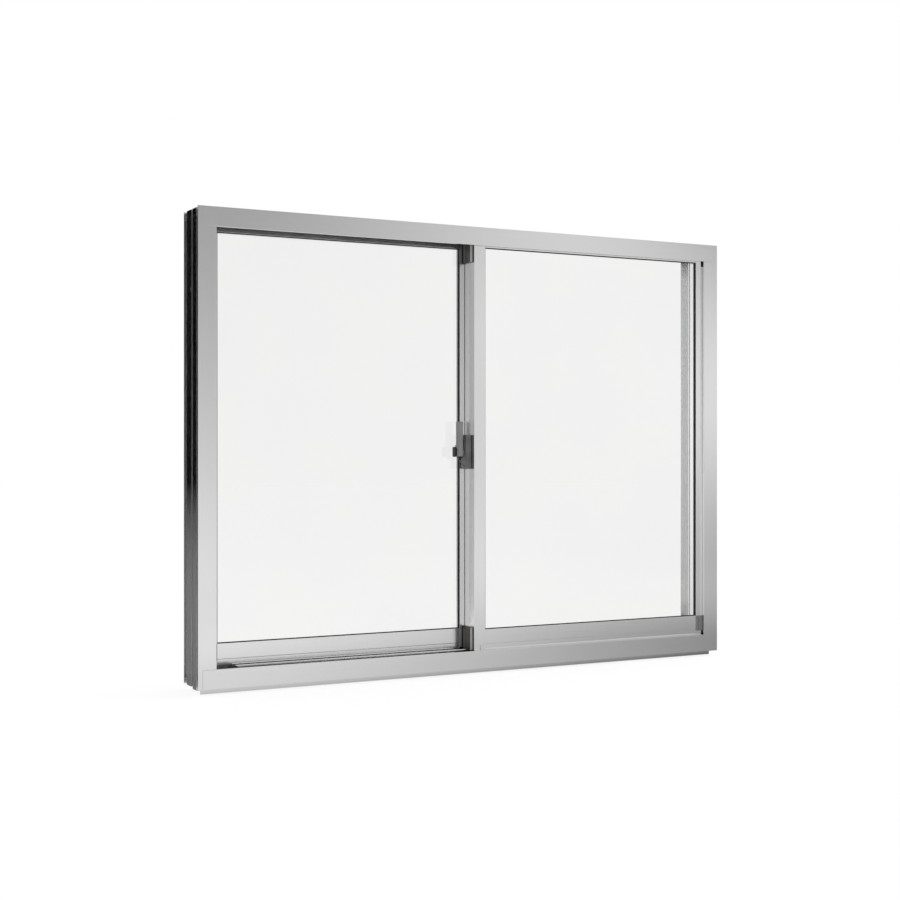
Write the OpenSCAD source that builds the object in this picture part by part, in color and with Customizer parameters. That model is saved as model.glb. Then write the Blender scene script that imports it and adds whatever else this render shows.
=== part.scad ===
// Two-sash sliding window in extruded aluminium, closed and locked.
// +X runs to the right as seen from the room, +Y goes outdoors, +Z is up.
// The origin is on the flat underside of the sill, at mid width and mid depth.

/* [Window size] */
// Width over the room-side faces of the frame
frame_width = 1200; // [900:10:1800]
// Height of the room-side faces of the frame
frame_height = 900; // [800:10:1500]
// Depth of the frame from its room face to its outdoor face
frame_depth = 100; // [98:1:110]

/* [Frame extrusions] */
// Visible width of the faces of the head and sill
face_width = 37; // [35:0.5:42]
// Visible width of the faces of the jambs
jamb_face_width = 36; // [34:0.5:41]
// Wall thickness of the frame extrusions
frame_wall = 2; // [1.6:0.1:2.4]
// How far the room-side faces stand past the frame body
face_lip = 5; // [3:0.5:8]
// Outer lip of a jamb that stays beside the head and sill faces
jamb_lip = 9; // [8:0.5:12]
// Thickness of the hollow body behind the faces
body_thickness = 11; // [10:0.5:13]
// Width of the outdoor faces of the frame
outdoor_face = 22; // [16:0.5:24]
// How far the sill leg hangs below the sill's underside
leg_drop = 15; // [8:0.5:25]
// Distance of the sill leg behind the room face
leg_setback = 17; // [12:0.5:20]
// How far the sill leg stops short of the jambs' outer edges
leg_inset = 10; // [10:1:20]
// Depth of the hollow in the jambs' outer sides
rib_height = 6; // [4:0.5:7]
// Distance of the jambs' outer ribs behind the room face
rib_front = 24; // [20:1:28]
// Distance of the back of the outer ribs behind the room face
rib_back = 82; // [78:1:88]
// Distance of the groove between the outer ribs behind the room face
rib_groove = 47; // [44:1:48]
// Width of the groove between the outer ribs
rib_groove_width = 6; // [4:0.5:8]
// How far the front rib of a jamb hangs below its face
rib_drop = 3.4; // [2:0.2:5]
// Length of a drain slot in the sill's outdoor face
drain_length = 34; // [20:1:50]
// Distance from a jamb's outer edge to the middle of its drain slot
drain_inset = 240; // [120:10:300]

/* [Tracks] */
// Height of the track tops above the sill's underside
track_top = 34.6; // [30:0.2:36]
// Thickness of the track ribs
track_rib = 2.4; // [1.8:0.1:3]
// Diameter of the rounded track tops
track_bead = 4; // [3:0.1:5]
// Reach of the upright fins of the jambs into the stiles
jamb_fin = 13; // [10:0.5:14]
// Distance from the jamb's outer edge to the slanted end of the room-side track, at its top
track_end_top = 78; // [60:1:90]
// The same distance lower down the slant, where the sill's lip hides the rest
track_end_foot = 103; // [94:1:120]

/* [Sashes] */
// Thickness of a sash
sash_depth = 39; // [37:0.5:40]
// Distance of the room-side sash behind the frame's room face
sash_setback = 6.5; // [6:0.5:8]
// Gap between the two sashes
sash_gap = 1.5; // [1:0.1:3]
// Wall thickness of the sash extrusions
sash_wall = 1.8; // [1.4:0.1:2.2]
// Width of the side stiles
side_stile_width = 35; // [33:0.5:40]
// Width of the room-side meeting stile
front_stile_width = 26; // [25:0.5:32]
// Width of the outdoor-side meeting stile
rear_stile_width = 37.5; // [36:0.5:42]
// Height of the bottom rails
bottom_rail_height = 39; // [37:0.5:50]
// Gap between a side stile and the floor of the jamb channel
side_clearance = 2.2; // [1.5:0.1:3]
// Gap between a top rail and the head, for lifting a sash in
lift_clearance = 4; // [3:0.5:5]
// Part of a top rail that shows below the head face
top_rail_reveal = 3; // [2:0.5:8]
// Depth of the glazing pocket in the rails and stiles
pocket_depth = 12; // [10:0.5:12]
// Height of the shallow groove along the foot of a bottom rail
rail_groove = 9.5; // [6:0.5:14]
// Depth of that groove
rail_groove_depth = 0.5; // [0.3:0.1:0.8]
// Height of the skirt below a bottom rail
skirt_height = 3.6; // [2:0.2:5]
// How far the skirt stands out from the rail
skirt_proud = 0.6; // [0.2:0.1:0.8]
// Width of the notches beside the jamb in a side stile
stile_notch = 5; // [3:0.5:6]

/* [Glazing] */
// Thickness of the glass
pane = 4; // [3:0.5:5]
// Thickness of the gasket between glass and metal
gasket_side = 1.8; // [1.4:0.1:2.4]
// Part of the gasket that shows beside the metal
gasket_lip = 1.4; // [0.8:0.1:3]

/* [Rollers] */
// Radius of a roller where it rides on the track
roller_radius = 7.6; // [7:0.1:8.5]
// Length of a roller carriage
carriage_length = 52; // [40:1:70]
// Distance of a carriage from the end of its rail
carriage_inset = 30; // [10:1:80]
// Width of a roller carriage
carriage_width = 14; // [13:0.5:18]
// Width of a roller over its flanges
roller_width = 8; // [7:0.5:9]
// Radius of a roller's axle
axle_radius = 2.5; // [2:0.1:3]

/* [Plastic pieces] */
// Height of an end cap on a meeting stile
cap_height = 46; // [30:1:60]
// Distance of a top cap below the top of its sash
cap_drop = 4.5; // [0:0.5:8]
// How far an end cap stands off its stile
cap_proud = 3.8; // [3:0.2:5]
// Width of the corner piece on a side stile
side_block_width = 17; // [14:0.5:17]
// Length of the wind stops at mid width
windstop_length = 24; // [16:1:40]

/* [Crescent lock] */
// Height of the lock housing
housing_height = 69; // [60:1:80]
// Depth of the lock housing
housing_depth = 23.5; // [23:0.5:25]
// How far the housing stands off the meeting stile
housing_width = 13.5; // [13:0.5:16]
// Length of the lever above the pivot
lever_length = 62; // [45:1:75]
// Breadth of the lever
lever_breadth = 13; // [11:0.5:16]
// Thickness of the lever
lever_thickness = 9.2; // [7:0.2:10]
// Distance of the lever's middle line in front of the pivot
lever_offset = 3.4; // [2:0.2:3.6]
// Radius of the pivot shaft
pivot_radius = 4; // [3:0.25:5]
// Height of the pivot below the window's mid-height
pivot_drop = 8; // [-40:1:40]
// Distance of the pivot behind the frame's room face
pivot_setback = 32; // [32:0.5:34]
// Radius of the crescent blade
cam_radius = 13; // [12:0.5:13]

/* [Fixings] */
// Radius of the fixing holes through the jambs
fixing_radius = 2.6; // [2:0.1:3]
// Distance between the two fixing holes of a jamb
fixing_spacing = 600; // [300:10:640]
// Distance of the fixing holes behind the room face
fixing_setback = 57; // [56.5:0.5:60]

/* [Hidden] */
$fn = 48;
fit_gap = 0.3;
joint_gap = 0.25;
jamb_lip_gap = 0.6;
half_width = frame_width / 2;
room_face = -frame_depth / 2;
outdoor_side = frame_depth / 2;
low = -face_lip;
high = frame_height - face_lip;
middle = (low + high) / 2;
opening_low = low + face_width;
opening_high = high - face_width;
drain_x = [drain_inset - half_width, half_width - drain_inset];
body_side = half_width - face_lip;
channel_side = body_side - body_thickness;
body_end = channel_side - fit_gap;
sill_floor = body_thickness + 3;
head_floor = high - face_lip - body_thickness;

sash_y = [room_face + sash_setback, room_face + sash_setback + sash_depth + sash_gap];
track_y = [for (y = sash_y) y + sash_depth / 2];
track_middle = (track_y[0] + track_y[1]) / 2;
sash_low = track_top + 0.4;
skirt_low = sash_low - skirt_height;
sash_high = head_floor - lift_clearance;
sash_side = channel_side - side_clearance;
track_end = channel_side - jamb_fin - fit_gap;
lip_depth = sash_setback - 1.5;
side_glass = sash_side - side_stile_width;
rail_low = sash_low + bottom_rail_height;
rail_high = opening_high - top_rail_reveal;
free_side = front_stile_width / 2;
rear_glass_side = free_side - rear_stile_width;

glass_edge = 2;
pocket_back = sash_wall + pane + 2 * gasket_side;
pocket_wall = 1.6;
front_stile_depth = sash_depth - 7.6;
seal_web = side_stile_width - jamb_fin - sash_wall;
seal_width = 7;
fin_low = rail_high + pocket_depth + sash_wall + 1.6;
groove_top = sash_low + rail_groove;
hook_inset = 5.2;
hook_reach = 8;
hook_turn = free_side + 2;
skirt_run = 5;
slant_height = 10.6;
block_lift = 6;
notch_drop = 11.5;
slit_width = 0.8;
roller_flange = 1.6;

// Glass openings of the two sashes: left, right
opening_x = [[free_side, side_glass], [-side_glass, rear_glass_side]];

housing_face = -free_side - housing_width;
housing_wall = 2;
pivot_y = room_face + pivot_setback;
pivot_z = middle - pivot_drop;
blade_width = 2;
button_boss = 3;
cam_room = 1.3;
bearing_gap = 0.05;
lever_gap = 4;
lever_foot = 9.2;
tip_height = 7;

// A straight wall of a profile, between two opposite corners
module wall(from, to)
    translate([min(from.x, to.x), min(from.y, to.y)])
        square([abs(to.x - from.x), abs(to.y - from.y)]);

// A block between two opposite corners
module block(from, to)
    translate(from)
        cube(to - from);

// Runs a profile drawn as (depth, height) along X
module along_x(from, to)
    translate([from, 0, 0])
        rotate([90, 0, 90])
            linear_extrude(to - from)
                children();

// Runs a profile drawn as (width, height) along Y
module along_y(from, to)
    translate([0, to, 0])
        rotate([90, 0, 0])
            linear_extrude(to - from)
                children();

// Runs a profile drawn as (width, depth) along Z
module along_z(from, to)
    translate([0, 0, from])
        linear_extrude(to - from)
            children();

// A bar of round section along X
module bar_x(from, to, radius)
    translate([from, 0, 0])
        rotate([0, 90, 0])
            cylinder(h = to - from, r = radius);

// A rectangle with round corners between two opposite corners
module rounded(from, to, radius) {
    wall([from.x + radius, from.y], [to.x - radius, to.y]);
    wall([from.x, from.y + radius], [to.x, to.y - radius]);
    for (x = [from.x + radius, to.x - radius])
        for (y = [from.y + radius, to.y - radius])
            translate([x, y])
                circle(radius);
}

// Room-side face of the head or sill, with the lip that turns in along its opening
module face(edge, inner) {
    face_end = half_width - jamb_lip - joint_gap;
    step = inner > edge ? -frame_wall : frame_wall;
    along_x(-face_end, face_end)
        wall([room_face, edge], [room_face + frame_wall, inner]);
    along_x(-body_end, body_end)
        wall([room_face, inner + step], [room_face + lip_depth, inner]);
}

// Outdoor face of the head or sill, which stops between those of the jambs. A strip from one
// height to another joins it to the body.
module outdoor_wall(low_edge, from, to) {
    end = body_side - outdoor_face - fit_gap;
    along_x(-end, end) {
        wall([outdoor_side - frame_wall, low_edge], [outdoor_side, low_edge + outdoor_face]);
        wall([outdoor_side - 1.5 * frame_wall, from], [outdoor_side - frame_wall / 2, to]);
    }
}

// Profile of the sill behind its face, as (depth, height)
module sill_body_profile() {
    back = outdoor_side - frame_wall;
    wall([room_face, 0], [back, frame_wall]);
    wall([room_face, sill_floor - frame_wall], [back, sill_floor]);
    wall([back - frame_wall, 0], [back, sill_floor]);
    for (y = [room_face + leg_setback, track_y[0], track_middle, track_y[1]])
        wall([y - frame_wall / 2, 0], [y + frame_wall / 2, sill_floor]);
}

// Profile of one sill track, from the floor to its rounded top
module track_profile(y) {
    bead = track_bead / 2;
    wall([y - track_rib / 2, sill_floor], [y + track_rib / 2, track_top - bead]);
    translate([y, track_top - bead])
        circle(bead);
}

// Slanted cut that ends the room-side track short of the left jamb
module track_end_cut() {
    foot = track_top - slant_height;
    along_y(track_y[0] - track_bead, track_y[0] + track_bead)
        polygon([[-half_width, foot], [-half_width + track_end_foot, foot],
            [-half_width + track_end_top, track_top + 1], [-half_width, track_top + 1]]);
}

module sill() {
    leg_y = room_face + leg_setback;
    color("silver") {
        face(low, opening_low);
        along_x(-body_end, body_end)
            sill_body_profile();
        along_x(-track_end, track_end)
            track_profile(track_y[1]);
        difference() {
            along_x(-track_end, track_end)
                track_profile(track_y[0]);
            track_end_cut();
        }
        along_x(-half_width + leg_inset, half_width - leg_inset)
            wall([leg_y - frame_wall / 2, -leg_drop], [leg_y + frame_wall / 2, low]);
        along_x(-body_end, body_end)
            wall([leg_y - frame_wall / 2, low], [leg_y + frame_wall / 2, 0]);
        difference() {
            outdoor_wall(0, 0, sill_floor);
            for (x = drain_x)
                block([x - drain_length / 2, outdoor_side - frame_wall - 1, sill_floor],
                    [x + drain_length / 2, outdoor_side + 1, sill_floor + 4]);
        }
    }
}

// Profile of the head behind its face, as (depth, height)
module head_body_profile() {
    back = outdoor_side - frame_wall;
    top = high - face_lip;
    wall([room_face, top - frame_wall], [back, top]);
    wall([room_face, head_floor], [back, head_floor + frame_wall]);
    wall([back - frame_wall, head_floor], [back, top]);
    for (y = [room_face + leg_setback, track_y[0], track_middle, track_y[1]])
        wall([y - frame_wall / 2, head_floor], [y + frame_wall / 2, top]);
}

module head() {
    color("silver") {
        face(high, opening_high);
        along_x(-body_end, body_end)
            head_body_profile();
        outdoor_wall(high - face_lip - outdoor_face, head_floor, high - face_lip);
        along_x(-track_end, track_end)
            for (y = track_y)
                wall([y - track_rib / 2, fin_low], [y + track_rib / 2, head_floor + frame_wall]);
    }
}

// Outer ribs of the left jamb as (width, depth), in front of or behind their groove
module jamb_rib(from, to) {
    wall([-body_side, from], [-body_side + frame_wall, to]);
    for (y = [from, to - frame_wall])
        wall([-body_side, y], [-channel_side, y + frame_wall]);
}

// Profile of the left jamb behind its face, as (width, depth)
module jamb_body_profile() {
    inner = -channel_side;
    deep = -body_side + rib_height;
    groove = room_face + rib_groove;
    front = room_face + rib_front;
    rear = room_face + rib_back;
    back = outdoor_side - frame_wall;
    jamb_rib(front, groove);
    jamb_rib(groove + rib_groove_width, rear);
    wall([deep - frame_wall, groove], [deep, groove + rib_groove_width]);
    wall([deep, room_face + frame_wall], [deep + frame_wall, front]);
    wall([deep, rear], [deep + frame_wall, outdoor_side]);
    wall([inner - frame_wall, room_face + frame_wall], [inner, outdoor_side]);
    wall([-body_side, back], [-body_side + outdoor_face, outdoor_side]);
}

// The left jamb, which the right one mirrors
module jamb() {
    inner_edge = -half_width + jamb_face_width;
    lip_back = room_face + sash_setback - jamb_lip_gap;
    color("silver")
        difference() {
            union() {
                along_z(low, high) {
                    wall([-half_width, room_face], [-half_width + jamb_lip, room_face + frame_wall]);
                    jamb_body_profile();
                }
                along_z(opening_low + joint_gap, opening_high - joint_gap) {
                    wall([-half_width, room_face], [inner_edge, room_face + frame_wall]);
                    wall([inner_edge - frame_wall, room_face], [inner_edge, lip_back]);
                    for (x = [-body_side + rib_height, -channel_side - frame_wall])
                        wall([x, room_face], [x + frame_wall, room_face + 2 * frame_wall]);
                }
                along_z(sill_floor + fit_gap, head_floor - fit_gap)
                    for (y = track_y)
                        wall([-channel_side - frame_wall, y - track_rib / 2],
                            [-channel_side + jamb_fin, y + track_rib / 2]);
                along_z(low - rib_drop, low)
                    jamb_rib(room_face + rib_front, room_face + rib_groove);
            }
            for (side = [-1, 1])
                translate([0, room_face + fixing_setback, middle + side * fixing_spacing / 2])
                    bar_x(-half_width, -channel_side + 1, fixing_radius);
        }
}

module jamb_left() jamb();

module jamb_right() mirror([1, 0, 0]) jamb();

// A soft block that stops the wind between the two sashes at mid width
module windstop(from, to)
    color("dimgray")
        block([-windstop_length / 2, track_middle - 8, from], [windstop_length / 2, track_middle + 8, to]);

module head_windstop() windstop(sash_high + fit_gap, head_floor);
module sill_windstop() windstop(sill_floor, sash_low - fit_gap);

// Hooded covers of the drain slots in the sill's outdoor face
module drain_covers() {
    cover_wall = 1.5;
    cover_depth = 3;
    color("dimgray")
        for (x = drain_x)
            translate([x, outdoor_side, sill_floor])
                difference() {
                    block([-drain_length / 2 - 3, 0, -6], [drain_length / 2 + 3, cover_depth, 6]);
                    block([-drain_length / 2, -1, -7], [drain_length / 2, cover_depth - cover_wall, 4.5]);
                }
}

// Section shared by the rails and stiles: a glazing pocket at x = 0 that opens to the left,
// with the rest of the section stepped back behind the pocket's outdoor lip
module sash_profile(width, depth = sash_depth) {
    wall([0, 0], [width, sash_wall]);
    wall([pocket_depth, depth - sash_wall], [width, depth]);
    wall([0, pocket_back], [pocket_depth + sash_wall, pocket_back + pocket_wall]);
    wall([pocket_depth, 0], [pocket_depth + sash_wall, depth]);
}

// A top or bottom rail, run between the glass sides of its stiles
module rail(sash, edge, height, up) {
    x = opening_x[sash];
    translate([0, sash_y[sash], edge])
        mirror([0, 0, up ? 0 : 1])
            along_x(x[0], x[1])
                mirror([1, 0])
                    rotate(90)
                        sash_profile(height);
}

// Room that the pieces of a sash leave for the fins of the head and the track of the sill
module track_room(sash) {
    side = track_rib / 2 + 0.8;
    y = track_y[sash];
    block([-half_width, y - side, fin_low - 0.8], [half_width, y + side, high]);
    block([-half_width, y - side, skirt_low - 1], [half_width, y + side, track_top + 1]);
}

// A side stile with its glass side at x = 0, notched beside the jamb at its two ends
module side_stile() {
    notch = pocket_depth + sash_wall;
    difference() {
        along_z(sash_low, sash_high) {
            sash_profile(side_stile_width);
            wall([seal_web, 0], [seal_web + sash_wall, sash_depth]);
        }
        for (z = [[sash_low - 1, sash_low + block_lift], [opening_high - notch_drop, sash_high + 1]])
            block([notch, -1, z[0]], [notch + stile_notch, sash_wall + 1, z[1]]);
    }
    along_x(0, notch)
        skirt_profile();
}

// Hook that closes the joint between the meeting stiles, from its root along +Y
module hook(root, reach, turn) {
    side = turn > 0 ? sash_wall : -sash_wall;
    wall(root, root + [side, reach]);
    wall([root.x, root.y + reach - sign(reach) * sash_wall], root + [turn, reach]);
}

module front_meeting_stile() {
    color("silver")
        difference() {
            translate([0, sash_y[0], 0]) {
                along_z(sash_low, sash_high) {
                    translate([free_side, 0])
                        mirror([1, 0])
                            sash_profile(front_stile_width, front_stile_depth);
                    wall([-free_side, 0], [-free_side + sash_wall, front_stile_depth]);
                    hook([-free_side, front_stile_depth], sash_depth - front_stile_depth, free_side);
                }
                along_x(-free_side, free_side)
                    skirt_profile();
            }
            track_room(0);
            block([free_side - pocket_depth, sash_y[0] - 1, skirt_low - 1],
                [free_side - pocket_depth + slit_width, sash_y[0] + sash_wall + 1, groove_top - 1.5]);
        }
}

module rear_meeting_stile()
    color("silver")
        difference() {
            translate([0, sash_y[1], 0])
                along_z(sash_low, sash_high) {
                    translate([rear_glass_side, 0])
                        sash_profile(rear_stile_width);
                    wall([free_side - sash_wall, 0], [free_side, sash_depth]);
                    hook([free_side - hook_inset, 0], -hook_reach, -hook_turn);
                }
            track_room(1);
        }

module front_side_stile()
    color("silver")
        difference() {
            translate([side_glass, sash_y[0], 0])
                side_stile();
            track_room(0);
        }

module rear_side_stile()
    color("silver")
        difference() {
            translate([-side_glass, sash_y[1], 0])
                mirror([1, 0, 0])
                    side_stile();
            track_room(1);
        }

// Profile of the skirt below a sash's room face, as (depth, height)
module skirt_profile()
    polygon([[-skirt_proud, skirt_low], [sash_wall, skirt_low], [sash_wall, sash_low],
        [rail_groove_depth, sash_low], [-skirt_proud, sash_low - rail_groove_depth - skirt_proud]]);

// A bottom rail with a shallow groove along its foot, and its skirt from a given place on
module bottom_rail(sash, skirt_from) {
    x = opening_x[sash];
    difference() {
        rail(sash, rail_low, bottom_rail_height, false);
        translate([0, sash_y[sash], 0])
            along_x(x[0] - 1, x[1] + 1)
                polygon([[-1, sash_low - 1], [rail_groove_depth, sash_low - 1],
                    [rail_groove_depth, groove_top - rail_groove_depth], [-1, groove_top + 1]]);
    }
    translate([0, sash_y[sash], 0])
        along_x(skirt_from, x[1])
            skirt_profile();
}

module front_top_rail()
    color("silver") rail(0, rail_high, sash_high - rail_high, true);

module rear_top_rail()
    color("silver") rail(1, rail_high, sash_high - rail_high, true);

module front_bottom_rail()
    color("silver") bottom_rail(0, opening_x[0][0]);

module rear_bottom_rail()
    color("silver") bottom_rail(1, -half_width + track_end_top + skirt_run);

// A box that stands over a sash's glass opening, grown or shrunk on its four sides
module glass_box(sash, grow, from, to) {
    x = opening_x[sash];
    block([x[0] - grow, sash_y[sash] + from, rail_low - grow],
        [x[1] + grow, sash_y[sash] + to, rail_high + grow]);
}

// The glass, held inside the gasket
module glass(sash) {
    first = sash_wall + gasket_side;
    color("lightcyan", 0.4)
        glass_box(sash, pocket_depth - glass_edge, first, first + pane);
}

// Channel gasket that wraps the edge of the glass
module gasket(sash) {
    first = sash_wall + gasket_side;
    color("dimgray")
        difference() {
            glass_box(sash, pocket_depth, sash_wall, pocket_back);
            glass_box(sash, pocket_depth - glass_edge, first, first + pane);
            glass_box(sash, -gasket_lip, 0, sash_depth);
        }
}

module front_glass() glass(0);
module rear_glass() glass(1);
module front_gasket() gasket(0);
module rear_gasket() gasket(1);

// Middles of the two carriages of a sash
function carriage_x(sash) =
    let (x = opening_x[sash], from_end = carriage_inset + carriage_length / 2)
        [x[0] + from_end, x[1] - from_end];

// Carriages hung from the web of a bottom rail, with a slot for the roller
module roller_carriages(sash) {
    top = rail_low - pocket_depth - sash_wall;
    axle = track_top + roller_radius;
    half = carriage_width / 2;
    slot = [roller_radius + roller_flange + 2.5, roller_width / 2 + 0.2];
    color("gainsboro")
        for (x = carriage_x(sash))
            translate([x, track_y[sash], 0])
                difference() {
                    block([-carriage_length / 2, -half, track_top + 2], [carriage_length / 2, half, top]);
                    block([-slot.x, -slot.y, track_top], [slot.x, slot.y, axle + slot.x]);
                    block([-carriage_length, -slot.y + 1.2, track_top],
                        [carriage_length, slot.y - 1.2, track_top + 4]);
                    translate([0, half + 1, axle])
                        rotate([90, 0, 0])
                            cylinder(h = carriage_width + 2, r = axle_radius + 0.05);
                }
}

// Grooved rollers that ride on a track, each with its axle
module rollers(sash) {
    rim = roller_radius + roller_flange;
    half = roller_width / 2;
    end = carriage_width / 2;
    color("white")
        for (x = carriage_x(sash))
            translate([x, track_y[sash], track_top + roller_radius])
                rotate([90, 0, 0])
                    rotate_extrude()
                        polygon([[0, -end], [axle_radius, -end], [axle_radius, -half], [rim, -half],
                            [rim, 0.8 - half], [roller_radius, -track_bead / 2 + 0.4],
                            [roller_radius, track_bead / 2 - 0.4], [rim, half - 0.8], [rim, half],
                            [axle_radius, half], [axle_radius, end], [0, end]]);
}

module front_roller_carriages() roller_carriages(0);
module rear_roller_carriages() roller_carriages(1);
module front_rollers() rollers(0);
module rear_rollers() rollers(1);

// Pile strip in the outer channel of a side stile, brushing the jamb's fin
module side_seal(sash) {
    web = side_glass + seal_web + sash_wall;
    tip = channel_side - jamb_fin - fit_gap;
    y = track_y[sash];
    mirror([sash, 0, 0])
        color("dimgray")
            block([web, y - seal_width / 2, sash_low + 4], [tip, y + seal_width / 2, fin_low - 1]);
}

module front_side_seal() side_seal(0);
module rear_side_seal() side_seal(1);

// Pile strip on the hook of the room-side meeting stile
module meeting_seal() {
    back = sash_y[0] + sash_depth - sash_wall;
    front = sash_y[1] - hook_reach + sash_wall + fit_gap;
    color("dimgray")
        block([-6, front, sash_low + 4], [-1, back, sash_high - 4]);
}

// End cap on the free side of the room-side meeting stile; the other stile's is its image.
// A ridge parts its room-side edge from its broad face, and a flange runs along its back.
module stile_cap(from, to) {
    x = -free_side;
    front = sash_y[0] + 1;
    back = sash_y[0] + sash_depth - 1;
    edge = 0.4 * cap_proud;
    color([0.2, 0.19, 0.17])
        difference() {
            along_z(from, to)
                polygon([[x, front], [x - edge, front + 0.5], [x - edge, front + 4],
                    [x - cap_proud - 0.5, front + 7.5], [x - cap_proud - 0.5, front + 8.5],
                    [x - cap_proud, front + 9], [x - cap_proud, back - 3],
                    [x - cap_proud - 1, back - 2.5], [x - cap_proud - 1, back], [x, back]]);
            track_room(0);
        }
}

// Turns a piece of the room-side meeting stile round to the outdoor one
module on_rear_stile()
    translate([0, 2 * track_middle, 0])
        rotate(180)
            children();

module front_cap_top() stile_cap(sash_high - cap_drop - cap_height, sash_high - cap_drop);
module front_cap_bottom() stile_cap(skirt_low + 1, skirt_low + 1 + cap_height);
module rear_cap_top() on_rear_stile() front_cap_top();
module rear_cap_bottom() on_rear_stile() front_cap_bottom();

// Plastic corner piece at the foot of a side stile: two plates with a groove between them
module side_block(sash) {
    from = sash_low + block_lift;
    slope = 5;
    plates = [[0, 0.36, 0.7], [0.36, 0.43, 0.2], [0.43, 1, 1.1]];
    color([0.42, 0.42, 0.42])
        mirror([sash, 0, 0])
            translate([side_glass, sash_y[sash], 0])
                for (p = plates)
                    along_x(p[0] * side_block_width, p[1] * side_block_width)
                        polygon([[-p[2], from], [0, from], [0, rail_low], [-p[2], rail_low - slope]]);
}

module front_side_block() side_block(0);
module rear_side_block() side_block(1);

// Lock housing on the free side of the room-side meeting stile
module lock_housing() {
    y = [pivot_y - housing_depth + 8, pivot_y + 8];
    z = [pivot_z - housing_height / 2, pivot_z + housing_height / 2];
    color([0.36, 0.36, 0.35])
        difference() {
            along_z(z[0], z[1])
                rounded([housing_face, y[0]], [-free_side, y[1]], 2.5);
            translate([0, pivot_y, pivot_z]) {
                bar_x(housing_face + housing_wall, -free_side - housing_wall, cam_radius + cam_room);
                bar_x(housing_face - 1, -free_side - 1, pivot_radius + bearing_gap);
            }
        }
}

// Lever with its boss and pivot shaft, standing up when locked
module lock_lever() {
    side = housing_face - lever_gap;
    front = -lever_offset - lever_breadth / 2;
    back = -lever_offset + lever_breadth / 2;
    color([0.55, 0.55, 0.54])
        translate([0, pivot_y, pivot_z]) {
            along_x(side - lever_thickness, side)
                rounded([front, -lever_foot], [back, lever_length], 1.2);
            along_x(side - lever_thickness - button_boss, side)
                rounded([front + 1, -lever_foot], [back - 1, 14], 2);
            bar_x(side, housing_face - fit_gap, pivot_radius + 4);
            bar_x(side - 1, -free_side - housing_wall / 2 - fit_gap, pivot_radius);
        }
}

// Crescent blade that turns with the lever and hooks behind the keeper
module lock_cam() {
    left = housing_face + housing_wall + 0.5;
    right = -free_side - housing_wall - 0.5;
    hub = pivot_radius + 2.5;
    color([0.5, 0.5, 0.5])
        translate([0, pivot_y, pivot_z]) {
            along_x(left, right)
                difference() {
                    circle(hub);
                    circle(pivot_radius + bearing_gap);
                }
            along_x(right - 2, right)
                difference() {
                    cam_sector(cam_radius);
                    circle(hub - 1);
                }
            along_x(left + 2, right - 2)
                difference() {
                    cam_sector(cam_radius);
                    circle(cam_radius - blade_width);
                }
        }
}

// The fan of the cam that faces outdoors at rest
module cam_sector(radius) {
    reach = 3 * radius;
    intersection() {
        circle(radius);
        polygon([[0, 0], [reach * cos(50), reach * sin(50)], [reach, 0], [reach * cos(50), -reach * sin(50)]]);
    }
}

// Push button on the outer side of the lever, and its catch under the lever's foot
module lock_button() {
    side = housing_face - lever_gap - lever_thickness - button_boss;
    color([0.12, 0.12, 0.12])
        translate([0, pivot_y, pivot_z]) {
            along_x(side - 3, side)
                rounded([-lever_offset - 3.5, -8], [-lever_offset + 3.5, 8], 2);
            along_x(side - 6, side - 3)
                rounded([-lever_offset - 5, -10.2], [-lever_offset + 5, 10.2], 2);
            lever_catch();
        }
}

// The catch: a tip that narrows on all four sides
module lever_catch() {
    left = housing_face - lever_gap - lever_thickness;
    right = housing_face - lever_gap;
    front = -lever_offset - lever_breadth / 2 + 1;
    back = -lever_offset + lever_breadth / 2 - 1;
    foot = -lever_foot;
    tip = foot - tip_height;
    intersection() {
        along_x(left - 1, right + 1)
            polygon([[front, foot], [back, foot], [-lever_offset + 2, tip], [-lever_offset - 2, tip]]);
        along_y(front - 1, back + 1)
            polygon([[left, foot + 1], [right - 0.5, foot + 1], [right - 0.5, foot],
                [right - 3.6, tip - 1], [left + 3, tip - 1], [left, foot]]);
    }
}

// Keeper on the room face of the outdoor meeting stile, hooked in front of the blade
module lock_keeper() {
    left = housing_face + housing_wall + 0.3;
    face = sash_y[1];
    lip = pivot_y + cam_radius - blade_width - 2.4;
    half = 22;
    color([0.6, 0.6, 0.6])
        translate([0, 0, pivot_z]) {
            block([left, face - 1.5, -half], [left + 10, face, half]);
            block([left, lip, -3.5], [left + 1.5, face, 3.5]);
            block([left, lip, -3.5], [left + 5, lip + 1.6, 3.5]);
        }
}

head();
sill();
jamb_left();
jamb_right();
head_windstop();
sill_windstop();
drain_covers();
front_top_rail();
front_bottom_rail();
front_side_stile();
front_meeting_stile();
front_glass();
front_gasket();
front_roller_carriages();
front_rollers();
front_side_seal();
front_cap_top();
front_cap_bottom();
front_side_block();
rear_top_rail();
rear_bottom_rail();
rear_side_stile();
rear_meeting_stile();
rear_glass();
rear_gasket();
rear_roller_carriages();
rear_rollers();
rear_side_seal();
rear_cap_top();
rear_cap_bottom();
rear_side_block();
meeting_seal();
lock_housing();
lock_lever();
lock_cam();
lock_button();
lock_keeper();
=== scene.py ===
"""Looks of the two-sash sliding window: finishes, small fasteners, studio and camera.

The lengths of finishes and pieces are in millimetres, and the code that builds them turns them
to metres. The studio and the camera are in metres.
+X runs to the right as seen from the room, +Y goes outdoors, +Z is up.
"""

import math

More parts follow.
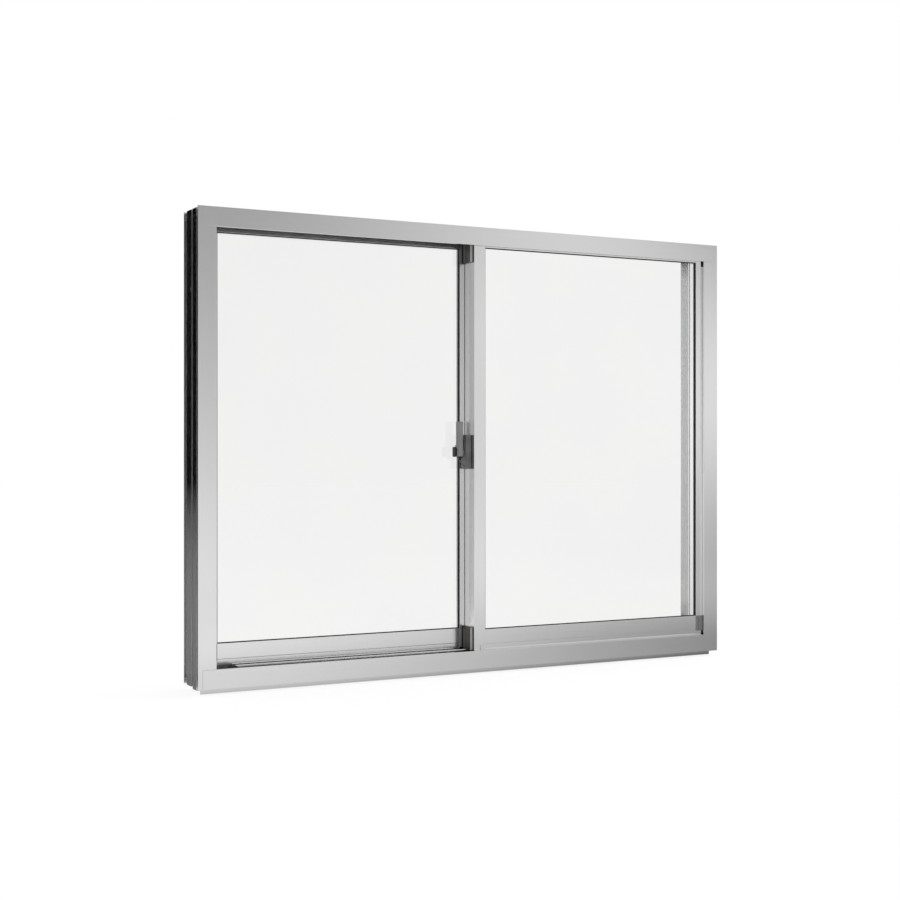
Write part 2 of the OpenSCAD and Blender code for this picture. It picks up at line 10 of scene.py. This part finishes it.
import bmesh
import bpy
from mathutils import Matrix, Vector


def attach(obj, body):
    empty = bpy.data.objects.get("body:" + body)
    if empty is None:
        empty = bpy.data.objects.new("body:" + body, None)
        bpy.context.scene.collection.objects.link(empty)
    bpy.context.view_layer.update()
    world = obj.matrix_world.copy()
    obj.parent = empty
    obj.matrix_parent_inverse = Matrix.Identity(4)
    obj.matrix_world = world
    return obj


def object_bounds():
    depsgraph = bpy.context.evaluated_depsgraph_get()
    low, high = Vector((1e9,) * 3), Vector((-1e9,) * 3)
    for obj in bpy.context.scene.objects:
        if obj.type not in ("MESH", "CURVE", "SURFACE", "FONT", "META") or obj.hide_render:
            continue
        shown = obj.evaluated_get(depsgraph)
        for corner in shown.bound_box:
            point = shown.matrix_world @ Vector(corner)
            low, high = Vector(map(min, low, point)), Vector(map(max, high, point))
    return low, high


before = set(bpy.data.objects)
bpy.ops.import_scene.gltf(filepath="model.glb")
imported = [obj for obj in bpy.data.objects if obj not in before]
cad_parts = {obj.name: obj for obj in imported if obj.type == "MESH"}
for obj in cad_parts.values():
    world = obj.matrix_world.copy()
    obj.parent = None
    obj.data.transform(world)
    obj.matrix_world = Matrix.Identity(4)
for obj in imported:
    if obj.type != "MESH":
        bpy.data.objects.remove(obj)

cad_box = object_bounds()
MM = 0.001
WHITE = "#FFFFFF"


# Colours and nodes

def linear(hex_code):
    """An sRGB colour such as #C9C9C7 as linear red, green, blue and alpha."""
    channels = [int(hex_code[i:i + 2], 16) / 255 for i in (1, 3, 5)]
    return [c / 12.92 if c <= 0.04045 else ((c + 0.055) / 1.055) ** 2.4 for c in channels] + [1.0]


def add(tree, kind, inputs=None, tones=(), **settings):
    """One node of a kind, with its settings, its socket values and the links that feed it.

    The tones are those of a ramp. It goes from the first to the second over the middle of its
    factor's range, where a noise has most of its values.
    """
    node = tree.nodes.new("ShaderNode" + kind)
    for name, value in settings.items():
        setattr(node, name, value)
    for key, value in (inputs or {}).items():
        if isinstance(value, bpy.types.NodeSocket):
            tree.links.new(value, node.inputs[key])
        else:
            node.inputs[key].default_value = value
    for index, (place, tone) in enumerate(zip((0.3, 0.7), tones)):
        node.color_ramp.elements[index].position = place
        node.color_ramp.elements[index].color = linear(tone)
    return node


def blank(name):
    """An empty material and its node tree."""
    material = bpy.data.materials.new(name)
    material.use_nodes = True
    material.node_tree.nodes.clear()
    return material, material.node_tree


def per_metre(millimetres):
    """The scale at which a noise repeats every so many millimetres."""
    return 1 / (millimetres * MM)


# Finishes

def anodised_aluminium(name, along):
    """Extruded aluminium, satin etched and clear anodised.

    The eye gets a soft metal sheen with a grain like fine silk, very faint draw lines that run
    along the bar, and a thin bright line on every edge from the die's small radii.
    The etched grain is really about 0.05 mm and is drawn at 0.6 mm, as coarse as it needs to show.
    """
    dark, light, bright_line = "#DEDEDE", "#E5E5E6", "#F0F0F0"
    grain, draw_line, cloud, edge_radius = 0.6, 2.5, 120, 0.8
    smoothest, roughest = 0.16, 0.22
    material, tree = blank(name)
    place = add(tree, "TexCoord").outputs["Object"]
    stretch = [0.02 if axis == along else 1.0 for axis in "XYZ"]
    drawn = add(tree, "Mapping", {"Vector": place, "Scale": stretch}).outputs["Vector"]
    grain_noise = add(tree, "TexNoise", {
        "Vector": place, "Scale": per_metre(grain), "Detail": 3.0}).outputs["Fac"]
    line_noise = add(tree, "TexNoise", {
        "Vector": drawn, "Scale": per_metre(draw_line), "Detail": 2.0}).outputs["Fac"]
    cloud_noise = add(tree, "TexNoise", {
        "Vector": place, "Scale": per_metre(cloud), "Detail": 2.0}).outputs["Fac"]
    etched = add(tree, "ValToRGB", {"Fac": grain_noise}, tones=(dark, light))
    lined = add(tree, "ValToRGB", {"Fac": line_noise}, tones=(dark, bright_line))
    tone = add(tree, "MixRGB", {
        "Fac": 0.10, "Color1": etched.outputs["Color"], "Color2": lined.outputs["Color"]})
    rough = add(tree, "MapRange", {"Value": cloud_noise, "To Min": smoothest, "To Max": roughest})
    edge = add(tree, "Bevel", {"Radius": edge_radius * MM}, samples=6)
    relief = add(tree, "Bump", {
        "Height": grain_noise, "Normal": edge.outputs["Normal"],
        "Strength": 0.05, "Distance": 0.05 * MM})
    lines = add(tree, "Bump", {
        "Height": line_noise, "Normal": relief.outputs["Normal"],
        "Strength": 0.06, "Distance": 0.08 * MM})
    shader = add(tree, "BsdfPrincipled", {
        "Base Color": tone.outputs["Color"], "Metallic": 1.0,
        "Roughness": rough.outputs["Result"], "Normal": lines.outputs["Normal"]})
    add(tree, "OutputMaterial", {"Surface": shader.outputs["BSDF"]})
    return material


def moulded(name, dark, light, rough, grain=0.8, sheen=0.0, depth=0.05, edge_radius=0.4):
    """A moulded, extruded or lacquered part: a fine grain, slight changes of tone, soft edges.

    The eye gets a surface that is a little uneven in tone and gloss, as it leaves a spark-eroded
    mould or a spray gun. Its grain is really about 0.1 mm and is drawn coarser, so that it shows.
    """
    cloud, rough_change = 25, 0.06
    material, tree = blank(name)
    place = add(tree, "TexCoord").outputs["Object"]
    grain_noise = add(tree, "TexNoise", {
        "Vector": place, "Scale": per_metre(grain), "Detail": 4.0}).outputs["Fac"]
    cloud_noise = add(tree, "TexNoise", {
        "Vector": place, "Scale": per_metre(cloud), "Detail": 2.0}).outputs["Fac"]
    tone = add(tree, "ValToRGB", {"Fac": cloud_noise}, tones=(dark, light))
    uneven = add(tree, "MapRange", {
        "Value": grain_noise, "To Min": rough - rough_change, "To Max": rough + rough_change})
    edge = add(tree, "Bevel", {"Radius": edge_radius * MM}, samples=6)
    relief = add(tree, "Bump", {
        "Height": grain_noise, "Normal": edge.outputs["Normal"],
        "Strength": 0.2, "Distance": depth * MM})
    shader = add(tree, "BsdfPrincipled", {
        "Base Color": tone.outputs["Color"], "Roughness": uneven.outputs["Result"],
        "Sheen Weight": sheen, "Normal": relief.outputs["Normal"]})
    add(tree, "OutputMaterial", {"Surface": shader.outputs["BSDF"]})
    return material


def plated_steel(name):
    """Zinc plated steel: the eye gets a bright grey with a fine uneven gloss and soft edges.

    The zinc's crystals are really about 0.1 mm and are drawn at 0.6 mm, so that they show.
    """
    dark, light = "#9A9A97", "#B6B6B2"
    grain, edge_radius = 0.6, 0.3
    smoothest, roughest = 0.24, 0.36
    material, tree = blank(name)
    place = add(tree, "TexCoord").outputs["Object"]
    grain_noise = add(tree, "TexNoise", {
        "Vector": place, "Scale": per_metre(grain), "Detail": 4.0}).outputs["Fac"]
    tone = add(tree, "ValToRGB", {"Fac": grain_noise}, tones=(dark, light))
    uneven = add(tree, "MapRange", {"Value": grain_noise, "To Min": smoothest, "To Max": roughest})
    edge = add(tree, "Bevel", {"Radius": edge_radius * MM}, samples=6)
    relief = add(tree, "Bump", {
        "Height": grain_noise, "Normal": edge.outputs["Normal"],
        "Strength": 0.15, "Distance": 0.04 * MM})
    shader = add(tree, "BsdfPrincipled", {
        "Base Color": tone.outputs["Color"], "Metallic": 1.0,
        "Roughness": uneven.outputs["Result"], "Normal": relief.outputs["Normal"]})
    add(tree, "OutputMaterial", {"Surface": shader.outputs["BSDF"]})
    return material


def clear_glass(name):
    """Float glass, 4 mm: clear and flat, with a trace of grey and faint waves from its bath.

    Light passes straight through it to the floor, so that the panes cast almost no shadow.
    """
    wave_length = 160
    material, tree = blank(name)
    place = add(tree, "TexCoord").outputs["Object"]
    wave = add(tree, "TexNoise", {
        "Vector": place, "Scale": per_metre(wave_length), "Detail": 0.0}).outputs["Fac"]
    tone = add(tree, "ValToRGB", {"Fac": wave}, tones=("#F0F1F0", "#F2F2F1"))
    relief = add(tree, "Bump", {"Height": wave, "Strength": 0.02, "Distance": 0.02 * MM})
    pane = add(tree, "BsdfPrincipled", {
        "Base Color": tone.outputs["Color"], "Roughness": 0.0, "IOR": 1.5,
        "Transmission Weight": 1.0, "Normal": relief.outputs["Normal"]})
    passing = add(tree, "BsdfTransparent", {"Color": linear("#F2F3F2")})
    shadow = add(tree, "LightPath").outputs["Is Shadow Ray"]
    both = add(tree, "MixShader", {
        0: shadow, 1: pane.outputs["BSDF"], 2: passing.outputs["BSDF"]})
    add(tree, "OutputMaterial", {"Surface": both.outputs["Shader"]})
    return material


finishes = {
    # Bars that run across the window and bars that stand, with their draw lines
    "level": anodised_aluminium("anodised_aluminium_level", "X"),
    "upright": anodised_aluminium("anodised_aluminium_upright", "Z"),
    "glass": clear_glass("clear_float_glass"),
    # Extruded rubber gasket: matt, near black, with a dusty bloom
    "gasket": moulded("extruded_glazing_rubber", "#242321", "#33322F", 0.62, depth=0.03),
    # Soft foam-like rubber: matt dark grey
    "soft_rubber": moulded("soft_rubber_block", "#2D2D2C", "#3A3A38", 0.8, depth=0.1),
    # Woven pile: grey polypropylene fibres that stand up, matt with a soft sheen
    "pile": moulded("polypropylene_pile", "#2B2B2B", "#454544", 0.9,
                    grain=0.5, sheen=0.4, depth=0.4, edge_radius=0.2),
    # Moulded nylon: waxy off-white
    "nylon": moulded("moulded_white_nylon", "#D9D8D2", "#E6E5E0", 0.42),
    # Moulded plastic caps: brown black with a satin sheen
    "cap": moulded("moulded_brown_black_plastic", "#3A3733", "#474440", 0.42),
    # The ridge of a cap: its paler brown grey is a painted highlight, and it is a little glossier
    "cap_ridge_painted_highlight": moulded("brown_grey_plastic_painted_highlight", "#B4B2AD", "#BFBDB8", 0.36),
    # Soft strip at the back of a cap: matt grey
    "strip": moulded("grey_rubber_strip", "#5E5E5D", "#6A6A69", 0.6),
    # Moulded corner pieces and drain covers: mid grey, satin
    "block": moulded("moulded_grey_plastic", "#7B7B7A", "#868685", 0.46),
    # Push button: black plastic with a satin shine
    "button": moulded("moulded_black_plastic", "#0A0A0A", "#101010", 0.42),
    # Die-cast lever: silver grey lacquer over zinc, the glossiest of the lock's parts
    "lever": moulded("silver_grey_lacquer", "#878787", "#939393", 0.3,
                     depth=0.03, edge_radius=0.9),
    # Die-cast housing: darker grey satin lacquer over zinc
    "housing": moulded("dark_grey_lacquer", "#626261", "#6F6F6E", 0.38, depth=0.03),
    # Cam, keeper and screws
    "steel": plated_steel("zinc_plated_steel"),
}

NODE_FINISH = {
    "head": "level", "sill": "level", "jamb_left": "upright", "jamb_right": "upright",
    "head_windstop": "soft_rubber", "sill_windstop": "soft_rubber", "drain_covers": "block",
    "meeting_seal": "pile", "lock_housing": "housing", "lock_lever": "lever",
    "lock_cam": "steel", "lock_button": "button", "lock_keeper": "steel",
}
SASH_FINISH = {
    "top_rail": "level", "bottom_rail": "level",
    "side_stile": "upright", "meeting_stile": "upright", "glass": "glass", "gasket": "gasket",
    "roller_carriages": "nylon", "rollers": "nylon", "side_seal": "pile",
    "cap_top": "cap", "cap_bottom": "cap", "side_block": "block",
}
for sash in ("front", "rear"):
    for part, finish in SASH_FINISH.items():
        NODE_FINISH[f"{sash}_{part}"] = finish
for node, finish in NODE_FINISH.items():
    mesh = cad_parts[node].data
    mesh.materials.clear()
    mesh.materials.append(finishes[finish])


# Small pieces

SMOOTH_TO = math.radians(35)
SECTORS = 32


def built(name, points, faces, finish, body):
    """A piece made from points in millimetres, smooth up to an angle, that rides on a body."""
    mesh = bpy.data.meshes.new(name)
    mesh.from_pydata([Vector(point) * MM for point in points], [], faces)
    work = bmesh.new()
    work.from_mesh(mesh)
    bmesh.ops.recalc_face_normals(work, faces=work.faces)
    for edge in work.edges:
        edge.smooth = edge.calc_face_angle(0) < SMOOTH_TO
    for face in work.faces:
        face.smooth = True
    work.to_mesh(mesh)
    work.free()
    mesh.materials.append(finishes[finish])
    piece = bpy.data.objects.new(name, mesh)
    bpy.context.scene.collection.objects.link(piece)
    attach(piece, body)


def rings(outlines):
    """Points and faces of a closed piece that runs through outlines of the same length."""
    count = len(outlines[0])
    points = [point for outline in outlines for point in outline]
    faces = []
    for start in range(0, len(points) - count, count):
        for i in range(count):
            j = (i + 1) % count
            faces.append([start + i, start + j, start + count + j, start + count + i])
    last = len(points) - count
    faces += [list(range(count))[::-1], [last + i for i in range(count)]]
    return points, faces


def round_outline(radius, depth):
    """A circle at a depth."""
    turns = [2 * math.pi * (i + 0.5) / SECTORS for i in range(SECTORS)]
    return [(radius * math.cos(turn), radius * math.sin(turn), depth) for turn in turns]


def cross_outline(arm, half, depth):
    """A cross at a depth, from its arms' length and half their width."""
    outline = []
    for x, y, z in round_outline(1, depth):
        reach = max(min(arm / abs(x), half / abs(y)), min(half / abs(x), arm / abs(y)))
        outline.append((reach * x, reach * y, z))
    return outline


def screw(name, place, axis, radius, body, finish="steel"):
    """A pan-head screw with a cross recess, its head's underside at a place, facing along an axis.

    The head starts 0.4 mm below its seat, so that no gap shows under it. Its outlines are the
    straight rim, the rounded edge and crown, and the recess's mouth and floor.
    """
    arm, half = radius * 0.56, radius * 0.17
    points, faces = rings([
        round_outline(radius, -0.4), round_outline(radius, 0.35 * radius),
        round_outline(radius * 0.93, 0.5 * radius), round_outline(radius * 0.78, 0.6 * radius),
        cross_outline(arm, half, 0.62 * radius),
        cross_outline(arm * 0.6, half * 0.8, 0.12 * radius)])
    turn = Vector(axis).to_track_quat("Z", "Y")
    points = [turn @ Vector(point) + Vector(place) for point in points]
    built(name, points, faces, finish, body)


def upright_bar(name, section, low, high, chamfer, finish, body):
    """An upright bar of a given section, drawn in at its two ends over a chamfer's length."""
    middle = sum((Vector(point) for point in section), Vector((0, 0))) / len(section)
    small = [middle + (Vector(point) - middle) * 0.8 for point in section]
    levels = [(small, low), (section, low + chamfer), (section, high - chamfer), (small, high)]
    points, faces = rings([[(x, y, z) for x, y in outline] for outline, z in levels])
    built(name, points, faces, finish, body)


# Assembly screws through the jambs into the head and sill
JAMB_SIDE, JAMB_SCREW = 589, 4
for side, side_name in ((-1, "left"), (1, "right")):
    for place, z in (("low", 7), ("high", 884.5)):
        for row, y in (("front", -38), ("rear", 40)):
            screw(f"jamb_screw_{side_name}_{place}_{row}", (side * JAMB_SIDE, y, z),
                  (side, 0, 0), JAMB_SCREW, "window")

# The two lacquered screws of the lock housing, and the screws of the keeper's plate
LOCK_SCREW = 2.6
HOUSING_SIDE, HOUSING_MIDDLE = -26.5, -23
KEEPER_MIDDLE, KEEPER_FACE = -19.2, -4.5
for place, z in (("low", 409), ("high", 465)):
    screw(f"housing_screw_{place}", (HOUSING_SIDE, HOUSING_MIDDLE, z),
          (-1, 0, 0), LOCK_SCREW, "window", "housing")
for place, z in (("low", 421), ("high", 453)):
    screw(f"keeper_screw_{place}", (KEEPER_MIDDLE, KEEPER_FACE, z),
          (0, -1, 0), LOCK_SCREW, "window")

# The ridge and the soft strip of each end cap, each with its section and what it stays
# short of the cap's foot and top; the ridge's paler colour is a painted highlight. The outdoor
# caps are the images of the room-side ones, turned half round the upright line between the sashes.
CAP_PARTS = {
    "ridge": ([(-14.6, -38.9), (-15.2, -38.75), (-17.9, -35.35),
               (-17.7, -34.8), (-17.0, -34.9), (-14.4, -38.2)], (0.3, 0.3), "cap_ridge_painted_highlight"),
    "strip": ([(-16.5, -11.4), (-17.5, -11.4), (-17.9, -11.0),
               (-17.9, -7.6), (-17.5, -7.2), (-16.5, -7.2)], (1.2, 6.5), "strip"),
}
SASH_MIDDLE, BAR_CHAMFER = -3.75, 0.5
for cap, low, high in (("bottom", 32.4, 78.4), ("top", 824.5, 870.5)):
    for sash, turned in (("front", 1), ("rear", -1)):
        for part, (section, (foot_gap, top_gap), finish) in CAP_PARTS.items():
            image = [(turned * x, SASH_MIDDLE + turned * (y - SASH_MIDDLE)) for x, y in section]
            upright_bar(f"{sash}_cap_{part}_{cap}", image, low + foot_gap, high - top_gap,
                        BAR_CHAMFER, finish, "window")


# Studio, in metres

FLOOR = cad_box[0][2]
SPAN = 14.0


def for_background(tree):
    """1 for the rays that show the background: those of the camera, of metal and of glass."""
    path = add(tree, "LightPath")
    seen = add(tree, "Math", {
        0: path.outputs["Is Camera Ray"], 1: path.outputs["Is Glossy Ray"]}, operation="MAXIMUM")
    return add(tree, "Math", {
        0: seen.outputs["Value"], 1: path.outputs["Is Transmission Ray"]},
        operation="MAXIMUM").outputs["Value"]


def pale_floor(name):
    """Pale matt paint that shows as white and still takes a soft shadow.

    Where it is seen, most of it glows white, a little above 1 to make up for the darker rest,
    which is the paint itself with its shadow.
    """
    cloud, glow_level, glow_share = 900, 1.16, 0.72
    material, tree = blank(name)
    place = add(tree, "TexCoord").outputs["Object"]
    cloud_noise = add(tree, "TexNoise", {
        "Vector": place, "Scale": per_metre(cloud), "Detail": 1.0}).outputs["Fac"]
    tone = add(tree, "ValToRGB", {"Fac": cloud_noise}, tones=("#EAEAEA", "#EDEDED"))
    paint = add(tree, "BsdfDiffuse", {"Color": tone.outputs["Color"]})
    white = add(tree, "Emission", {"Color": linear(WHITE), "Strength": glow_level})
    share = add(tree, "Math", {0: for_background(tree), 1: glow_share}, operation="MULTIPLY")
    both = add(tree, "MixShader", {
        0: share.outputs["Value"], 1: paint.outputs["BSDF"], 2: white.outputs["Emission"]})
    add(tree, "OutputMaterial", {"Surface": both.outputs["Shader"]})
    return material


def lying(plan, z):
    """The corners of a panel that lies at a height, from its corners on the plan."""
    return [(x, y, z) for x, y in plan]


def standing(start, end, top):
    """The corners of a panel that stands on the floor along a line of the plan."""
    return lying((start, end), FLOOR) + lying((end, start), top)


def panel(name, corners, material):
    """A flat four-sided panel of the studio."""
    mesh = bpy.data.meshes.new(name)
    mesh.from_pydata([Vector(corner) for corner in corners], [], [(0, 1, 2, 3)])
    mesh.materials.append(material)
    piece = bpy.data.objects.new(name, mesh)
    bpy.context.scene.collection.objects.link(piece)
    return piece


def graded_card(name, corners, level, spots, behind_glass=False):
    """A softly lit card beside the camera's view, which only the metal and the gloss reflect.

    Each spot is a place, its three radii and how much it takes from the level at its middle.
    A spot with a negative amount is brighter than the level.
    A card behind the glass also shows in the metal that is seen through a pane, but not to the
    eye that looks straight through one.
    """
    material, tree = blank(name)
    place = add(tree, "NewGeometry").outputs["Position"]
    total = level
    for middle, radii, amount in spots:
        away = add(tree, "VectorMath", {0: place, 1: middle}, operation="SUBTRACT")
        away = add(tree, "VectorMath", {0: away.outputs["Vector"], 1: radii}, operation="DIVIDE")
        away = add(tree, "VectorMath", {0: away.outputs["Vector"]}, operation="LENGTH")
        spot = add(tree, "MapRange", {
            "Value": away.outputs["Value"], "To Min": -amount, "To Max": 0.0},
            interpolation_type="SMOOTHSTEP")
        total = add(tree, "Math", {0: spot.outputs["Result"], 1: total}).outputs["Value"]
    strength = add(tree, "Math", {0: total, 1: 0.0}, operation="MAXIMUM")
    glow = add(tree, "Emission", {"Color": linear(WHITE), "Strength": strength.outputs["Value"]})
    surface = glow.outputs["Emission"]
    if behind_glass:
        reflected = add(tree, "LightPath").outputs["Glossy Depth"]
        unseen = add(tree, "BsdfTransparent")
        surface = add(tree, "MixShader", {
            0: reflected, 1: unseen.outputs["BSDF"], 2: surface}).outputs["Shader"]
    add(tree, "OutputMaterial", {"Surface": surface})
    card = panel(name, corners, material)
    card.visible_camera = card.visible_diffuse = card.visible_shadow = False
    card.visible_transmission = behind_glass


panel("floor", lying([(-SPAN, -SPAN), (SPAN, -SPAN), (SPAN, SPAN), (-SPAN, SPAN)], FLOOR),
      pale_floor("pale_floor_paint"))

# The cards stand round the window: in front of it, at the left, at the back and overhead. The
# ones on the floor lie half a millimetre above it.
CARDS_LEFT, FRONT_LEFT, CARDS_RIGHT = -2.2, -1.4, 3.2
CARD_Y, SIDE_Y, FLAG_Y, BAND_Y, BACK_Y = -1.6, -0.3, 0.2, 0.9, 1.1
CARD_FOOT, FRONT_TOP, CARD_TOP = FLOOR + 0.0005, 2.4, 2.6
# A spot's radius that makes it even in that direction
EVEN = 30.0

# The card in front gives the room-side faces their slow change from grey at the top left
# through light along the other diagonal to grey at the bottom right
graded_card("front_card", standing((FRONT_LEFT, CARD_Y), (CARDS_RIGHT, CARD_Y), FRONT_TOP), 0.86, [
    # Greyer for the window's top left, bottom right and top right
    ((-0.35, CARD_Y, 1.6), (1.85, 1.0, 1.85), 0.535),
    ((2.3, CARD_Y, -0.1), (1.4, 1.0, 0.75), 0.56),
    ((2.2, CARD_Y, 1.5), (1.05, 1.0, 0.8), 0.7),
    # Lighter for the middle of the right jamb and the foot of the left one
    ((1.9, CARD_Y, 0.62), (0.7, 1.0, 0.4), -0.11),
    ((-0.2, CARD_Y, 0.05), (0.8, 1.0, 0.5), -0.14),
    # Bright for the right jamb's lip and the right stile
    ((-0.5, CARD_Y, 0.6), (0.3, 1.0, 1.0), -1.22),
    # Darker at the left end, for the ribs of the frame's left side
    ((-1.6, CARD_Y, 0.6), (0.62, 1.0, 4.0), 1.1),
    # Lighter for the outdoor meeting stile, and for two places on the room-side one
    ((-0.87, CARD_Y, 0.9), (0.2, 1.0, 1.1), -0.22),
    ((0.9, CARD_Y, 0.85), (0.35, 1.0, 0.28), -0.12),
    ((0.9, CARD_Y, 0.08), (0.4, 1.0, 0.2), -0.1)])
# The card on the floor goes on from it for the window's lower faces
FLOOR_CARD_BACK = -0.035
graded_card("floor_card", lying([(FRONT_LEFT, CARD_Y), (CARDS_RIGHT, CARD_Y),
                                 (CARDS_RIGHT, FLOOR_CARD_BACK), (FRONT_LEFT, FLOOR_CARD_BACK)],
                                CARD_FOOT), 0.88, [
    # Greyer close to the sill, to the right and at the far right
    ((0.3, -0.03, FLOOR), (4.0, 0.09, 1.0), 0.25),
    ((1.1, -0.15, FLOOR), (1.9, 1.3, 1.0), 0.62),
    ((1.7, -1.1, FLOOR), (0.9, 0.8, 1.0), 0.3),
    # Lighter for the left half of the sill
    ((-0.1, -0.7, FLOOR), (0.9, 0.5, 1.0), -0.2),
    # Darker at the left end, as the card in front
    ((-1.6, -1.5, FLOOR), (0.75, 1.9, 1.0), 1.0)])

# A flag close to the left side keeps the frame's outer side near black above the level of the
# camera, and grey below it. One further out and one on the floor go on from it.
graded_card("side_flag", standing((-0.84, FLAG_Y), (-0.615, FLAG_Y), 1.05), 0.2, [
    ((-0.7, FLAG_Y, 1.0), (EVEN, EVEN, 0.86), 1.1)])
graded_card("far_side_flag", standing((CARDS_LEFT, SIDE_Y), (-1.9, 0.7), CARD_TOP), 0.3, [
    ((-2.0, 0.2, 1.6), (EVEN, EVEN, 1.7), 0.5)])
graded_card("side_floor_flag", lying([(FRONT_LEFT, -0.4), (-0.605, -0.06),
                                      (-0.605, FLAG_Y), (FRONT_LEFT, FLAG_Y)], CARD_FOOT), 0.2, [
    ((-0.9, 0.3, FLOOR), (1.6, 1.2, 1.0), 0.02)])
# A soft dark band further back greys the left sides of the middle stiles, less so at their feet
graded_card("middle_band", standing((-0.75, BAND_Y), (-0.265, BAND_Y), CARD_TOP), 1.0, [
    ((-0.508, BAND_Y, 0.5), (0.243, 1.0, EVEN), 0.57),
    ((-0.508, BAND_Y, -0.05), (0.4, 1.0, 0.55), -0.17)], behind_glass=True)
# The bright card at the back lightens the part of the frame that shows through the right pane
graded_card("back_card", standing((-0.3, BACK_Y), (1.6, BACK_Y), 1.6), 1.0, [
    ((0.0, BACK_Y, 0.5), (0.9, 1.0, 0.9), -0.6)])
# The dark card at the left has a narrow bright strip, for a little light on the upright edges
graded_card("left_card", standing((FRONT_LEFT, CARD_Y), (CARDS_LEFT, SIDE_Y), CARD_TOP), 0.17, [
    ((-2.04, -0.57, 0.5), (0.2, 0.16, 2.2), -0.87)])


def soft_box(name, place, aim, size, level):
    """A rectangular soft light, so many times as bright as white paper."""
    light = bpy.data.lights.new(name, "AREA")
    light.shape = "RECTANGLE"
    light.size, light.size_y = size
    light.energy = level * math.pi * size[0] * size[1]
    lamp = bpy.data.objects.new(name, light)
    lamp.location = place
    lamp.rotation_euler = (Vector(aim) - Vector(place)).to_track_quat("-Z", "Y").to_euler()
    lamp.visible_camera = lamp.visible_transmission = lamp.visible_glossy = False
    bpy.context.scene.collection.objects.link(lamp)


# The card overhead keeps the level edges from shining
graded_card("top_card", lying([(CARDS_LEFT, CARD_Y), (CARDS_RIGHT, CARD_Y),
                               (CARDS_RIGHT, BACK_Y), (CARDS_LEFT, BACK_Y)], CARD_TOP), 0.72, [
    ((-1.6, 0.6, CARD_TOP), (1.2, 1.2, 1.0), 0.4)])
# A box overhead gives the plain light
soft_box("overhead_box", (1.3, -0.2, 2.7), (0, 0, 0.4), (1.8, 1.0), 1.6)


def studio_world(plain_level):
    """White wherever it is seen as the background, and a plain even light on the rest."""
    world = bpy.data.worlds.new("studio")
    bpy.context.scene.world = world
    world.use_nodes = True
    tree = world.node_tree
    tree.nodes.clear()
    strength = add(tree, "MapRange", {
        "Value": for_background(tree), "To Min": plain_level, "To Max": 1.0})
    around = add(tree, "Background", {
        "Color": linear(WHITE), "Strength": strength.outputs["Result"]})
    add(tree, "OutputWorld", {"Surface": around.outputs["Background"]})


studio_world(0.72)


# Camera

def photo_camera():
    """The photograph's view: from the left, level with the window's mid-height."""
    place, direction = (-1.4864, -2.7227, 0.445), (0.4677, 0.8839, 0)
    pixels_down, frame_pixels = 2, 900
    data = bpy.data.cameras.new("photo_view")
    data.sensor_width = 36
    data.lens = 60
    data.shift_y = -pixels_down / frame_pixels
    camera = bpy.data.objects.new("photo_view", data)
    camera.location = place
    camera.rotation_euler = Vector(direction).to_track_quat("-Z", "Y").to_euler()
    bpy.context.scene.collection.objects.link(camera)
    bpy.context.scene.camera = camera


photo_camera()
bpy.context.scene.view_settings.view_transform = "Standard"
